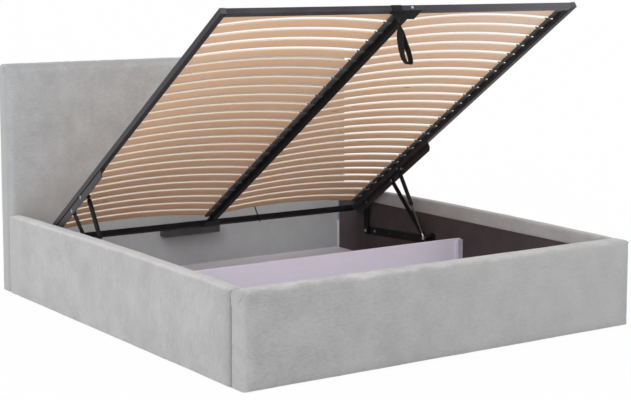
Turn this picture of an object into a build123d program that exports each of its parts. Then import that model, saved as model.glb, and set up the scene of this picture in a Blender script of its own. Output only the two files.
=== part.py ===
from build123d import *
import math
import os

# Ottoman storage bed with its sprung base raised. Millimetres, +Z up.
# The origin is on the floor under the middle of the bed. +Y points to the
# headboard and +X to the right of someone who stands at the foot.

# Whole bed
bed_width = 1940
bed_length = 2215
rail_height = 370
rail_thickness = 60
foot_thickness = 90
headboard_height = 1080
headboard_thickness = 85
half_width = bed_width / 2
foot_front_y = -bed_length / 2
foot_inner_y = foot_front_y + foot_thickness
headboard_back_y = bed_length / 2
headboard_front_y = headboard_back_y - headboard_thickness
inner_half_width = half_width - rail_thickness
overrun = 5
running_gap = 0.3
shaft_clearance = 0.05

# Glides under the panels and the floor battens
glide_height = 2
glide_radius = 18
glide_sides = 6
panel_bottom_z = glide_height

# Padding under the cloth, and how far the cloth turns down inside the box
outer_padding = 14
top_padding = 14
inner_padding = 6
headboard_padding = 16
rail_edge_radius = 16
headboard_edge_radius = 20
wrap_down = 55
back_cloth_thickness = 3
back_border = 40
wrap_z = rail_height - wrap_down

# Wooden carcass inside the upholstery
board_thickness = 16
upright_width = 70
bay_spacing = 620
fewest_bays = 1

# Storage floor and divider
batten_height = 25
batten_width = 44
batten_inset = 60
batten_spacing = 470
fewest_batten_gaps = 2
floor_board_thickness = 6
floor_edge_gap = 2
floor_middle_gap = 1
divider_thickness = 16
divider_top_drop = 140
divider_setback = 1056
cleat_width = 29
cleat_thickness = 16
cleat_top_drop = 4
batten_top_z = panel_bottom_z + batten_height
floor_top_z = batten_top_z + floor_board_thickness
divider_top_z = rail_height - divider_top_drop
divider_foot_y = headboard_front_y - divider_setback
divider_head_y = divider_foot_y + divider_thickness

# Corner trims, corner brackets and the shelf that carries the closed base
trim_width = 24
bracket_thickness = 3
bracket_leg = 27
bracket_height = 120
bracket_top_gap = 14
trim_top_z = wrap_z - bracket_top_gap - bracket_height
bracket_bolt_radius = 6
bracket_bolt_height = 3
lower_bolt_share = 1 / 4
upper_bolt_share = 3 / 4
rest_depth = 58
rest_width = 315
rest_offset = -10
rest_lip = 52
rest_top_drop = 124.3
rest_top_z = rail_height - rest_top_drop

# Raised base: a welded frame of square tube, head end lowest
lift_side_gap = 20
lift_end_gaps = 50
tube_size = 25
tube_wall = 1.5
centre_tube_width = 30
open_angle = 33.7
lift_setback = 186
lift_head_drop = 93
lift_head_z = rail_height - lift_head_drop
plug_depth = 12
plug_flange = 2
end_plate_width = 90
end_plate_length = 65
end_plate_thickness = 3
lift_half = inner_half_width - lift_side_gap
lift_length = headboard_front_y - foot_inner_y - lift_end_gaps
tube_inner_x = lift_half - tube_size
lift_head_y = headboard_front_y - lift_setback

# Sprung slats and the caps that hold their ends
slat_pitch = 75
slat_width = 53
slat_thickness = 8
slat_camber = 28
first_slat = 87
last_slat_margin = 80
slat_end_rise = 5
slat_flats = 6
slat_end_inset = 26
slat_end_gap = 6
cap_length = 60
cap_height = 18
cap_side_depth = 42
cap_side_inset = 6
cap_toe_height = 4
cap_toe_run = 22
cap_overhang = 24
cap_clearance = 0.3
slat_count = 1 + int((lift_length - first_slat - last_slat_margin) // slat_pitch)

# Angle under each side tube that carries the lift links
angle_start = 20
angle_length = 730
angle_leg = 37
angle_wall = 4
angle_corner_cut = 14

# Lift links, their pivots and the bracket on the rail
pin_radius = 5
head_sides = 6
head_radius = 9
rear_rivet_radius = 6.5
cap_head_height = 1.5
head_height = 3
base_plate_wall = 4
base_plate_height = 40
rear_foot_setback = 294
rear_foot_drop = 207
rear_foot_z = rail_height - rear_foot_drop
front_foot_setback = 818
front_foot_drop = 184
front_foot_z = rail_height - front_foot_drop
base_bolt_radius = 7
base_bolt_inset = 63
base_bolt_count = 4
rear_head_along = 124
rear_head_drop = 11
front_head_along = 388
front_head_drop = 21
link_wall = 5
link_gap = 0.5
rear_link_gap = 2
front_link_width = 26
rear_link_width = 38
rear_eye_radius = 18.5
rear_eye_rim = 5
eye_sides = 16
rear_eye_shift_y = 12
rear_eye_shift_z = -4.4

# Gas struts
strut_foot_setback = 840
strut_foot_drop = 165
strut_foot_z = rail_height - strut_foot_drop
strut_head_along = 505
strut_head_drop = 11
cylinder_radius = 10
cylinder_bore = 8
cylinder_length = 205
cylinder_cap = 8
eye_radius = 9
eye_width = 12
eye_neck_radius = 5.5
strut_tube_gap = 2
rod_radius = 4.5
piston_length = 12
piston_gap = 0.4
stud_radius = 6
collar_radius = 6.5
socket_radius = 9
socket_sides = 12
socket_neck_radius = 5.5
socket_neck_length = 24

# Pull strap and the tie on the lowest slat
strap_width = 52
strap_thickness = 2.5
strap_centre_x = -76
strap_lean = 70
strap_neck_drop = 75
strap_drop = 210
strap_loop_width = 40
strap_loop_depth = 36
strap_neck_width = 7
widest_share = 3 / 4
strap_foot_share = 1 / 2
tie_x = 254
tie_lean = 30
tie_width = 4
tie_thickness = 1.5
tie_drop = 78


def block(x0, x1, y0, y1, z0, z1):
    """A box between two corners."""
    low = (min(x0, x1), min(y0, y1), min(z0, z1))
    size = (abs(x1 - x0), abs(y1 - y0), abs(z1 - z0))
    return Pos(*low) * Box(*size, align=(Align.MIN, Align.MIN, Align.MIN))


def plate(sketch, x0, x1):
    """A flat piece cut from a sketch drawn on the side view, Y across and Z up."""
    return extrude(Plane.YZ.offset(x0) * sketch, amount=x1 - x0)


def disc(centre, radius, x0, x1):
    """A round piece whose axis runs across the bed."""
    return plate(Pos(*centre) * Circle(radius), x0, x1)


def hexagon(centre, radius, x0, x1):
    """A six-sided head whose axis runs across the bed."""
    return plate(Pos(*centre) * RegularPolygon(radius, head_sides), x0, x1)


def between(start, end):
    """The middle, length and slope of the line between two side-view points."""
    run, rise = end[0] - start[0], end[1] - start[1]
    middle = ((start[0] + end[0]) / 2, (start[1] + end[1]) / 2)
    return middle, math.hypot(run, rise), math.degrees(math.atan2(rise, run))


def bar(start, end, width, x0, x1):
    """A round-ended flat bar between two side-view points."""
    middle, length, slope = between(start, end)
    shape = Pos(*middle) * Rot(0, 0, slope) * SlotCenterToCenter(length, width)
    return plate(shape, x0, x1)


def on_lift(along, above):
    """The side-view place of a point on the raised base.

    The first distance runs from its head end toward its foot end, and the
    second up from the tops of its tubes."""
    lean = math.radians(open_angle)
    y = lift_head_y - along * math.cos(lean) + above * math.sin(lean)
    z = lift_head_z + along * math.sin(lean) + above * math.cos(lean)
    return y, z


def raised(piece):
    """Puts a piece drawn on a level base, head end at Y 0, on the raised base."""
    return Pos(0, lift_head_y, lift_head_z) * Rot(-open_angle, 0, 0) * piece


def along_strut(piece):
    """Puts a piece drawn up from Z 0 on the strut's line, foot to head."""
    slope = between(strut_foot, strut_head)[2]
    place = Location((strut_x, *strut_foot))
    return place * Rot(slope - 90, 0, 0) * piece


def other_side(piece):
    return mirror(piece, about=Plane.YZ)


# Side-view places of the pivots, and how the mechanism stacks across the bed
rear_foot = (headboard_front_y - rear_foot_setback, rear_foot_z)
front_foot = (headboard_front_y - front_foot_setback, front_foot_z)
strut_foot = (headboard_front_y - strut_foot_setback, strut_foot_z)
rear_head = on_lift(rear_head_along, -tube_size - rear_head_drop)
front_head = on_lift(front_head_along, -tube_size - front_head_drop)
strut_head = on_lift(strut_head_along, -tube_size - strut_head_drop)
base_plate_x = inner_half_width - base_plate_wall
angle_inner_x = lift_half - angle_wall
front_link_x1 = angle_inner_x - link_gap
front_link_x0 = front_link_x1 - link_wall
rear_link_x0 = lift_half + rear_link_gap
rear_link_x1 = rear_link_x0 + link_wall
strut_x = tube_inner_x - strut_tube_gap - cylinder_radius


def carcass(x0, x1, y0, y1, z0, z1, open_side):
    """A panel carcass: one board and the uprights glued behind it."""
    body = block(x0, x1, y0, y1, z0, z1)
    along_y = (y1 - y0) > (x1 - x0)
    start, end = (y0, y1) if along_y else (x0, x1)
    count = max(fewest_bays, round((end - start) / bay_spacing))
    bay = (end - start - upright_width) / count
    for index in range(count):
        a = start + upright_width + index * bay
        b = start + (index + 1) * bay
        low, high = z0 + upright_width, z1 - upright_width
        if along_y:
            near, far = (x0 - overrun, x1 - board_thickness)
            if open_side > 0:
                near, far = (x0 + board_thickness, x1 + overrun)
            body -= block(near, far, a, b, low, high)
        else:
            body -= block(a, b, y0 + board_thickness, y1 + overrun, low, high)
    return body


def side_rail():
    """Right side rail: carcass, padded cloth cover and dark lining board."""
    y0, y1 = foot_inner_y, headboard_front_y
    core_x0, core_x1 = inner_half_width + inner_padding, half_width - outer_padding
    core_top = rail_height - top_padding
    core = carcass(core_x0, core_x1, y0, y1, panel_bottom_z, core_top, -1)
    cover = block(inner_half_width, half_width, y0, y1, panel_bottom_z, rail_height)
    top_edges = cover.edges().filter_by(Axis.Y).group_by(Axis.Z)[-1]
    cover = fillet(top_edges, rail_edge_radius)
    cover -= block(core_x0, core_x1, y0 - overrun, y1 + overrun, panel_bottom_z - overrun, core_top)
    cover -= block(inner_half_width - overrun, core_x0, y0 - overrun, y1 + overrun,
                   panel_bottom_z - overrun, wrap_z)
    lining = block(inner_half_width, core_x0, y0 + trim_width, y1 - trim_width,
                   panel_bottom_z, wrap_z)
    return core, cover, lining


def foot_panel():
    """Foot panel across the whole width, built like the side rails."""
    core_x = half_width - outer_padding
    core_y0, core_y1 = foot_front_y + outer_padding, foot_inner_y - inner_padding
    core_top = rail_height - top_padding
    core = carcass(-core_x, core_x, core_y0, core_y1, panel_bottom_z, core_top, 1)
    cover = block(-half_width, half_width, foot_front_y, foot_inner_y, panel_bottom_z, rail_height)
    edges = cover.edges().group_by(Axis.Z)[-1]
    edges += cover.edges().filter_by(Axis.Z).group_by(Axis.Y)[0]
    cover = fillet(edges, rail_edge_radius)
    cover -= block(-core_x, core_x, core_y0, core_y1, panel_bottom_z - overrun, core_top)
    cover -= block(-core_x, core_x, core_y1, foot_inner_y + overrun,
                   panel_bottom_z - overrun, wrap_z)
    lining = block(-core_x, core_x, core_y1, foot_inner_y, panel_bottom_z, wrap_z)
    return core, cover, lining


def headboard():
    """Headboard: carcass, padded cover that turns onto the back, and back cloth."""
    core_x = half_width - outer_padding
    core_y0 = headboard_front_y + headboard_padding
    core_y1 = headboard_back_y - back_cloth_thickness
    core_top = headboard_height - top_padding
    core = carcass(-core_x, core_x, core_y0, core_y1, panel_bottom_z, core_top, 1)
    cover = block(-half_width, half_width, headboard_front_y, headboard_back_y,
                  panel_bottom_z, headboard_height)
    edges = cover.edges().group_by(Axis.Z)[-1]
    edges += cover.edges().filter_by(Axis.Z).group_by(Axis.Y)[0]
    cover = fillet(edges, headboard_edge_radius)
    cover -= block(-core_x, core_x, core_y0, core_y1, panel_bottom_z - overrun, core_top)
    opening_x, opening_top = half_width - back_border, headboard_height - back_border
    cover -= block(-opening_x, opening_x, core_y1 - overrun, headboard_back_y + overrun,
                   panel_bottom_z - overrun, opening_top)
    back = block(-opening_x, opening_x, core_y1, headboard_back_y, panel_bottom_z, opening_top)
    return core, cover, back


def batten_rows():
    """The Y places of the cross battens, evenly spread over the storage floor."""
    start = foot_inner_y + batten_inset
    end = headboard_front_y - batten_inset
    count = max(fewest_batten_gaps, round((end - start) / batten_spacing))
    return [start + index * (end - start) / count for index in range(count + 1)]


def floor_battens():
    x = inner_half_width - floor_edge_gap
    rows = []
    for y in batten_rows():
        rows.append(block(-x, x, y - batten_width / 2, y + batten_width / 2,
                          panel_bottom_z, batten_top_z))
    return Compound(children=rows)


def floor_panel(side, end):
    """One quarter of the storage floor."""
    middle_y = (divider_foot_y + divider_head_y) / 2
    x0 = side * floor_middle_gap / 2
    x1 = side * (inner_half_width - floor_edge_gap)
    y0 = middle_y + end * floor_middle_gap / 2
    y1 = (headboard_front_y if end > 0 else foot_inner_y) - end * floor_edge_gap
    return block(x0, x1, y0, y1, batten_top_z, floor_top_z)


def glides():
    """Round plastic glides under the carcasses and under the batten middles."""
    rail_x = (inner_half_width + inner_padding + half_width - outer_padding) / 2
    foot_y = (foot_front_y + outer_padding + foot_inner_y - inner_padding) / 2
    head_y = (headboard_front_y + headboard_padding + headboard_back_y) / 2
    places = []
    for x in (-rail_x, 0, rail_x):
        places.append((x, foot_y))
        places.append((x, head_y))
    for y in batten_rows():
        for x in (-rail_x, -rail_x / 2, 0, rail_x / 2, rail_x):
            places.append((x, y))
    pads = []
    for x, y in places:
        outline = Pos(x, y, 0) * RegularPolygon(glide_radius, glide_sides)
        pads.append(extrude(outline, amount=glide_height))
    return Compound(children=pads)


def divider():
    """Divider board across the box, and the cleats that hold its ends."""
    x = inner_half_width - floor_edge_gap / 2
    board = block(-x, x, divider_foot_y, divider_head_y, floor_top_z, divider_top_z)
    cleat_y = divider_foot_y - cleat_thickness
    cleat = block(inner_half_width - cleat_width, inner_half_width, cleat_y, divider_foot_y,
                  floor_top_z, divider_top_z - cleat_top_drop)
    return board, Compound(children=[cleat, other_side(cleat)])


def corners():
    """Light trims in the four inner corners, with a bolted steel bracket over each."""
    x0, x1 = inner_half_width, inner_half_width + inner_padding
    trims, brackets, bolts = [], [], []
    for wall_y, way in ((headboard_front_y, -1), (foot_inner_y, 1)):
        trim = block(x0, x1, wall_y, wall_y + way * trim_width, panel_bottom_z, trim_top_z)
        low, high = trim_top_z, trim_top_z + bracket_height
        side_leg = block(x0, x0 + bracket_thickness, wall_y, wall_y + way * trim_width, low, high)
        wall_leg = block(x0 - bracket_leg, x0 + bracket_thickness, wall_y,
                         wall_y + way * bracket_thickness, low, high)
        bracket = side_leg + wall_leg
        for share in (lower_bolt_share, upper_bolt_share):
            place = (x0 - bracket_leg / 2, wall_y + way * bracket_thickness,
                     low + share * bracket_height)
            face = Plane(origin=place, z_dir=(0, way, 0))
            outline = face * RegularPolygon(bracket_bolt_radius, head_sides)
            head = extrude(outline, amount=bracket_bolt_height)
            bolts += [head, other_side(head)]
        trims += [trim, other_side(trim)]
        brackets += [bracket, other_side(bracket)]
    return Compound(children=trims), Compound(children=brackets), Compound(children=bolts)


def rest_shelf():
    """Folded steel shelf on the headboard that the closed base lies on."""
    x0, x1 = rest_offset - rest_width / 2, rest_offset + rest_width / 2
    y0, y1 = headboard_front_y - rest_depth, headboard_front_y
    bottom = rest_top_z - rest_lip
    shelf = block(x0, x1, y0, y1, bottom, rest_top_z)
    wall = bracket_thickness
    return shelf - block(x0 + wall, x1 - wall, y0 + wall, y1 - wall, bottom - overrun, rest_top_z - wall)


def square_tube(width, length, height=tube_size):
    """A hollow tube along X, centred, its top face at Z 0."""
    outer = block(-length / 2, length / 2, -width / 2, width / 2, -height, 0)
    inner = block(-length / 2 - overrun, length / 2 + overrun,
                  -width / 2 + tube_wall, width / 2 - tube_wall,
                  -height + tube_wall, -tube_wall)
    return outer - inner


def lift_tubes():
    """Side tubes over the whole length, with head, foot and centre tubes between."""
    long_tube = Rot(0, 0, 90) * square_tube(tube_size, lift_length)
    side = raised(Pos(lift_half - tube_size / 2, -lift_length / 2, 0) * long_tube)
    cross = square_tube(tube_size, 2 * tube_inner_x)
    head = raised(Pos(0, -tube_size / 2, 0) * cross)
    foot = raised(Pos(0, -lift_length + tube_size / 2, 0) * cross)
    inner_length = lift_length - 2 * tube_size
    centre = Rot(0, 0, 90) * square_tube(centre_tube_width, inner_length)
    centre = raised(Pos(0, -lift_length / 2, 0) * centre)
    return side, head, foot, centre


def tube_plugs():
    """Plastic plugs in the open ends of the side tubes."""
    inner = tube_size - 2 * tube_wall - 2 * cap_clearance
    flange = block(-tube_size / 2, tube_size / 2, 0, plug_flange, -tube_size, 0)
    stem = block(-inner / 2, inner / 2, -plug_depth, 0,
                 -tube_size + tube_wall + cap_clearance, -tube_wall - cap_clearance)
    plug = flange + stem
    head_plug = Pos(lift_half - tube_size / 2, 0, 0) * plug
    foot_plug = Pos(lift_half - tube_size / 2, -lift_length, 0) * mirror(plug, about=Plane.XZ)
    right = [raised(head_plug), raised(foot_plug)]
    return Compound(children=right + [other_side(piece) for piece in right])


def end_plates():
    """Plates bolted under the ends of the centre tube."""
    half = end_plate_width / 2
    low = -tube_size - end_plate_thickness
    head = block(-half, half, -end_plate_length, 0, low, -tube_size)
    foot = Pos(0, end_plate_length - lift_length, 0) * head
    return Compound(children=[raised(head), raised(foot)])


def slat_arc(x0, x1, rise):
    """Centre and radius of a slat's underside, bowed up between two places."""
    chord = x1 - x0
    radius = (chord * chord / 4 + slat_camber * slat_camber) / (2 * slat_camber)
    return ((x0 + x1) / 2, rise + slat_camber - radius), radius


def bowed(x0, x1, rise):
    """A slat pressed into an even bow between two places, in short flats."""
    centre, radius = slat_arc(x0, x1, rise)
    half_turn = math.asin((x1 - x0) / 2 / radius)
    under, over = [], []
    for index in range(slat_flats + 1):
        turn = half_turn * (1 - 2 * index / slat_flats)
        across, up = math.sin(turn), math.cos(turn)
        under.append((centre[0] + radius * across, centre[1] + radius * up))
        over.append((centre[0] + (radius + slat_thickness) * across,
                     centre[1] + (radius + slat_thickness) * up))
    outline = make_face(Polyline(*under, *reversed(over), close=True))
    return extrude(Plane.XZ * outline, amount=slat_width / 2, both=True)


def cap_mouth(x0, x1, rise, end_x):
    """The straight mouth of a cap, sloped like the end of the slat it holds."""
    centre, radius = slat_arc(x0, x1, rise)
    half_turn = math.asin((x1 - x0) / 2 / radius)
    slope = math.degrees(half_turn * (1 - 1 / slat_flats))
    way = 1 if end_x < (x0 + x1) / 2 else -1
    half = slat_width / 2 + cap_clearance
    mouth = block(-cap_clearance, 2 * cap_length, -half, half,
                  -cap_clearance, slat_thickness + cap_clearance)
    if way < 0:
        mouth = mirror(mouth, about=Plane.YZ)
    return Pos(end_x, 0, rise) * Rot(0, -way * slope, 0) * mouth


def slats_and_caps():
    """The right-hand field of bowed slats, and the caps at the tubes."""
    x0 = slat_end_gap
    x1 = lift_half - slat_end_inset
    slat = bowed(x0, x1, slat_end_rise)
    half = cap_length / 2
    toe = lift_half - cap_side_inset
    heel = toe - cap_side_depth
    profile = Polyline((heel, 0), (toe, 0), (toe, cap_toe_height),
                       (toe - cap_toe_run, cap_height), (heel, cap_height), close=True)
    side_cap = extrude(Plane.XZ * make_face(profile), amount=half, both=True)
    side_cap -= cap_mouth(x0, x1, slat_end_rise, x1)
    reach = centre_tube_width / 2 + cap_overhang
    centre_cap = block(-reach, reach, -half, half, 0, cap_height)
    centre_mouth = cap_mouth(x0, x1, slat_end_rise, x0)
    centre_cap = centre_cap - centre_mouth - other_side(centre_mouth)
    slats, side_caps, centre_caps = [], [], []
    for index in range(slat_count):
        place = Pos(0, -(first_slat + index * slat_pitch), 0)
        slats.append(raised(place * slat))
        side_caps.append(raised(place * side_cap))
        centre_caps.append(raised(place * centre_cap))
    return slats, side_caps, centre_caps


def lift_angle():
    """Steel angle under the right side tube, its upright leg flush with the tube."""
    y0, y1 = -angle_start - angle_length, -angle_start
    low = -tube_size - angle_leg
    leg = block(angle_inner_x, lift_half, y0, y1, low, -tube_size)
    corners_low = leg.edges().filter_by(Axis.X).group_by(Axis.Z)[0]
    leg = chamfer(corners_low, angle_corner_cut)
    shelf = block(tube_inner_x, angle_inner_x, y0, y1, -tube_size - angle_wall, -tube_size)
    return raised(leg + shelf)


def base_bracket():
    """Flat bracket on the lining of the right rail, wide enough for all its pins."""
    bracket = bar(rear_foot, front_foot, base_plate_height, base_plate_x, inner_half_width)
    return bracket + bar(front_foot, strut_foot, base_plate_height, base_plate_x, inner_half_width)


def base_pins():
    """Pivot pins of the links and the strut's stud, welded to the base bracket."""
    rear_stop = rear_link_x0 - running_gap
    rear = disc(rear_foot, pin_radius, rear_stop, base_plate_x)
    rear += hexagon(rear_foot, head_radius, rear_stop - head_height, rear_stop)
    front_stop = front_link_x0 - running_gap
    front = disc(front_foot, pin_radius, front_stop, base_plate_x)
    front += hexagon(front_foot, head_radius, front_stop - head_height, front_stop)
    front += hexagon(front_foot, head_radius, front_link_x1 + running_gap, base_plate_x)
    stud = hexagon(strut_foot, stud_radius, strut_x + eye_width / 2 + running_gap, base_plate_x)
    return Compound(children=[rear, front, stud])


def base_bolts():
    """Bolts that hold the bracket to the rail, spread between its pins."""
    length = between(rear_foot, front_foot)[1]
    spacing = (length - 2 * base_bolt_inset) / (base_bolt_count - 1)
    heads = []
    for index in range(base_bolt_count):
        share = (base_bolt_inset + index * spacing) / length
        y = rear_foot[0] + share * (front_foot[0] - rear_foot[0])
        z = rear_foot[1] + share * (front_foot[1] - rear_foot[1])
        head = hexagon((y, z), base_bolt_radius, base_plate_x - head_height, base_plate_x)
        heads += [head, other_side(head)]
    return Compound(children=heads)


def lift_pins():
    """Pins on the lift angle, one for each link and one for the strut."""
    rear_end = rear_link_x1 + running_gap
    rear = hexagon(rear_head, pin_radius, lift_half, rear_end)
    rear += hexagon(rear_head, head_radius, rear_end, rear_end + head_height)
    pins = [rear, hexagon(rear_head, rear_rivet_radius, angle_inner_x - head_height, angle_inner_x)]
    front_end = front_link_x0 - running_gap
    front = disc(front_head, pin_radius, front_end, angle_inner_x)
    front += hexagon(front_head, head_radius, front_end - head_height, front_end)
    strut_end = strut_x - eye_width / 2 - running_gap
    strut = disc(strut_head, pin_radius, strut_end, angle_inner_x)
    strut += hexagon(strut_head, stud_radius, strut_end - head_height, strut_end)
    collar_start = strut_x + eye_width / 2 + running_gap
    strut += hexagon(strut_head, collar_radius, collar_start, front_end - head_height)
    pins += [front, strut]
    for point in (front_head, strut_head):
        pins.append(hexagon(point, head_radius, lift_half, lift_half + cap_head_height))
    return Compound(children=pins)


def rear_link():
    """Rear link: a wide bar whose upper eye clears the lift pin all the way."""
    eye = (rear_head[0] + rear_eye_shift_y, rear_head[1] + rear_eye_shift_z)
    x0, x1 = rear_link_x0, rear_link_x1
    link = bar(rear_foot, eye, rear_link_width, x0, x1)
    link += disc(eye, rear_eye_radius + rear_eye_rim, x0, x1)
    link -= plate(Pos(*eye) * RegularPolygon(rear_eye_radius, eye_sides, major_radius=False),
                  x0 - overrun, x1 + overrun)
    return link - disc(rear_foot, pin_radius + shaft_clearance, x0 - overrun, x1 + overrun)


def front_link():
    """Front link: a long flat bar on pins at both ends."""
    x0, x1 = front_link_x0, front_link_x1
    link = bar(front_foot, front_head, front_link_width, x0, x1)
    for point in (front_foot, front_head):
        link -= disc(point, pin_radius + shaft_clearance, x0 - overrun, x1 + overrun)
    return link


def upright(radius, z0, z1):
    """A round bar up the strut's own axis."""
    return Pos(0, 0, z0) * Cylinder(radius, z1 - z0, align=(Align.CENTER, Align.CENTER, Align.MIN))


def shank(radius, z0, z1):
    """A six-sided bar up the strut's own axis."""
    return extrude(Pos(0, 0, z0) * RegularPolygon(radius, head_sides), amount=z1 - z0)


def hollow(radius, z0, z1):
    """A hole of short flats up the strut's own axis, that a round bar fits in."""
    outline = RegularPolygon(radius, socket_sides, major_radius=False)
    return extrude(Pos(0, 0, z0) * outline, amount=z1 - z0)


def strut():
    """Gas strut: cylinder on the lift angle, rod and piston below, bright socket."""
    length = between(strut_foot, strut_head)[1]
    lower = length - cylinder_length
    bore_top = length - eye_radius - cylinder_cap - cylinder_cap
    tube = upright(cylinder_radius, lower, bore_top + cylinder_cap)
    tube -= hollow(cylinder_bore, lower + cylinder_cap, bore_top)
    tube -= hollow(rod_radius + shaft_clearance, lower - overrun, lower + cylinder_cap + overrun)
    tube += shank(eye_neck_radius, bore_top + cylinder_cap, length)
    cylinder = along_strut(tube)
    x0, x1 = strut_x - eye_width / 2, strut_x + eye_width / 2
    cylinder += plate(Pos(*strut_head) * RegularPolygon(eye_radius, socket_sides), x0, x1)
    cylinder -= disc(strut_head, pin_radius + shaft_clearance, x0 - overrun, x1 + overrun)
    piston_top = lower + cylinder_cap + piston_gap + piston_length
    shaft = upright(rod_radius, socket_neck_length, piston_top)
    shaft += upright(cylinder_bore - piston_gap, piston_top - piston_length, piston_top)
    rod = along_strut(shaft)
    socket = along_strut(shank(socket_neck_radius, 0, socket_neck_length))
    socket += plate(Pos(*strut_foot) * RegularPolygon(socket_radius, socket_sides), x0, x1)
    return cylinder, rod, socket


def strap_band():
    """Webbing sewn round the foot tube."""
    y0, y1 = -lift_length - strap_thickness, -lift_length + tube_size + strap_thickness
    z0, z1 = -tube_size - strap_thickness, strap_thickness
    x0, x1 = strap_centre_x - strap_width / 2, strap_centre_x + strap_width / 2
    band = block(x0, x1, y0, y1, z0, z1)
    band -= block(x0 - overrun, x1 + overrun, -lift_length, -lift_length + tube_size, -tube_size, 0)
    return raised(band)


def strap_hinge():
    """Where the loop hangs from the band, close under the foot tube."""
    y, z = on_lift(lift_length - tube_size / 2, -tube_size - strap_thickness)
    return y, z - strap_thickness / 2 - running_gap


def pull_strap():
    """The hanging loop: a twisted neck that opens into a long drop shape."""
    y, z = strap_hinge()
    slope = strap_lean / strap_drop
    neck_z = z - strap_neck_drop
    bottom_z = z - strap_drop
    neck_x = strap_centre_x + slope * strap_neck_drop
    bottom_x = strap_centre_x + strap_lean
    narrow, wide = strap_neck_width / 2, strap_width / 2
    thin, deep = strap_thickness / 2, strap_loop_depth / 2
    front_view = make_face(Polyline((strap_centre_x - wide, z), (strap_centre_x + wide, z),
                                    (neck_x + narrow, neck_z), (neck_x - narrow, neck_z), close=True))
    side_view = make_face(Polyline((y - thin, z), (y + thin, z), (y + deep, neck_z), (y - deep, neck_z),
                                   close=True))
    neck = extrude(Plane.XZ.offset(-y) * front_view, amount=deep, both=True)
    neck &= plate(side_view, strap_centre_x - wide - overrun, neck_x + wide + overrun)
    hang = neck_z - bottom_z
    half = strap_loop_width / 2
    outer = drop_shape(neck_x, neck_z, bottom_x, bottom_z, hang, half, 0)
    inner = drop_shape(neck_x, neck_z, bottom_x, bottom_z, hang, half, strap_thickness)
    loop = extrude(Plane.XZ.offset(-y) * (outer - inner), amount=strap_loop_depth / 2, both=True)
    return neck + loop


def drop_shape(neck_x, neck_z, bottom_x, bottom_z, hang, half, wall):
    """Outline of the hanging loop, drawn on the front view, in by one wall."""
    lean = (bottom_x - neck_x) / hang
    start_half = strap_neck_width / 2 - wall
    wide_z = neck_z - widest_share * hang
    wide_x = neck_x + lean * widest_share * hang
    low_z = bottom_z + wall
    left = [(neck_x - start_half, neck_z), (wide_x - half + wall, wide_z),
            (bottom_x - strap_foot_share * half + wall, low_z)]
    right = [(bottom_x + strap_foot_share * half - wall, low_z), (wide_x + half - wall, wide_z),
             (neck_x + start_half, neck_z)]
    return make_face(Polyline(*left, *right, close=True))


def slat_tie():
    """Thin tie that hangs from the lowest slat across the head tube."""
    y1 = on_lift(tube_size, -tube_size)[0] - running_gap
    centre, radius = slat_arc(slat_end_gap, lift_half - slat_end_inset, slat_end_rise)
    bow = centre[1] + math.sqrt(radius * radius - (tie_x - centre[0]) ** 2)
    z1 = on_lift(first_slat - slat_width / 2, bow)[1] - running_gap
    outline = Polyline((tie_x, z1), (tie_x + tie_width, z1),
                       (tie_x + tie_width + tie_lean, z1 - tie_drop),
                       (tie_x + tie_lean, z1 - tie_drop), close=True)
    return extrude(Plane.XZ.offset(-y1) * make_face(outline), amount=tie_thickness)


def foot_bolt():
    """Bright bolt through the foot tube into the centre tube."""
    place = Plane(origin=(0, -lift_length, -tube_size / 2), z_dir=(0, -1, 0))
    return raised(extrude(place * RegularPolygon(base_bolt_radius, head_sides), amount=head_height))


def build():
    """Every piece of the bed under its own name."""
    pieces = {}

    def both(name, right):
        pieces[name + "_right"] = right
        pieces[name + "_left"] = other_side(right)

    core, cover, lining = side_rail()
    both("side_rail_core", core)
    both("side_rail_cover", cover)
    both("side_lining", lining)
    pieces["foot_panel_core"], pieces["foot_panel_cover"], pieces["foot_lining"] = foot_panel()
    pieces["headboard_core"], pieces["headboard_cover"], pieces["headboard_back_cloth"] = headboard()
    for side_name, side in (("left", -1), ("right", 1)):
        for end_name, end in (("foot", -1), ("head", 1)):
            pieces[f"floor_panel_{end_name}_{side_name}"] = floor_panel(side, end)
    pieces["floor_battens"] = floor_battens()
    pieces["glides"] = glides()
    pieces["divider_board"], pieces["divider_cleats"] = divider()
    pieces["corner_trims"], pieces["corner_brackets"], pieces["corner_bolts"] = corners()
    pieces["rest_shelf"] = rest_shelf()
    both("base_bracket", base_bracket())
    both("base_pins", base_pins())
    pieces["base_bolts"] = base_bolts()

    side, head, foot, centre = lift_tubes()
    both("lift_side_tube", side)
    pieces["lift_head_tube"] = head
    pieces["lift_foot_tube"] = foot
    pieces["lift_centre_tube"] = centre
    pieces["tube_plugs"] = tube_plugs()
    pieces["centre_end_plates"] = end_plates()
    both("lift_angle", lift_angle())
    both("lift_pins", lift_pins())
    slats, side_caps, centre_caps = slats_and_caps()
    both("slats", Compound(children=slats))
    both("slat_caps", Compound(children=side_caps))
    pieces["slat_caps_centre"] = Compound(children=centre_caps)
    pieces["foot_bolt"] = foot_bolt()
    pieces["strap_band"] = strap_band()
    pieces["pull_strap"] = pull_strap()
    pieces["slat_tie"] = slat_tie()

    both("rear_link", rear_link())
    both("front_link", front_link())
    cylinder, rod, socket = strut()
    both("strut_cylinder", cylinder)
    both("strut_rod", rod)
    both("strut_socket", socket)
    return pieces


os.makedirs("parts", exist_ok=True)
for name, piece in build().items():
    export_step(piece, f"parts/{name}.step")
    print(name, [round(value, 1) for value in piece.bounding_box().size])
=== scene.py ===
# %% [markdown]
# # A storage bed with its base raised
# The bed is a padded box with a sprung base on top. The base is raised here, on two pairs of steel
# links and two gas struts, and the storage floor shows under it. The engineering model is loaded
# first. Whatever is hard on the bed stays as that model has it and only gets rounded edges and a
# finish. Whatever is cloth, bent wood or moulded plastic is built again in this script.

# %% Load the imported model
import bpy
import math
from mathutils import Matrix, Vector, noise
from mathutils.bvhtree import BVHTree


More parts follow.
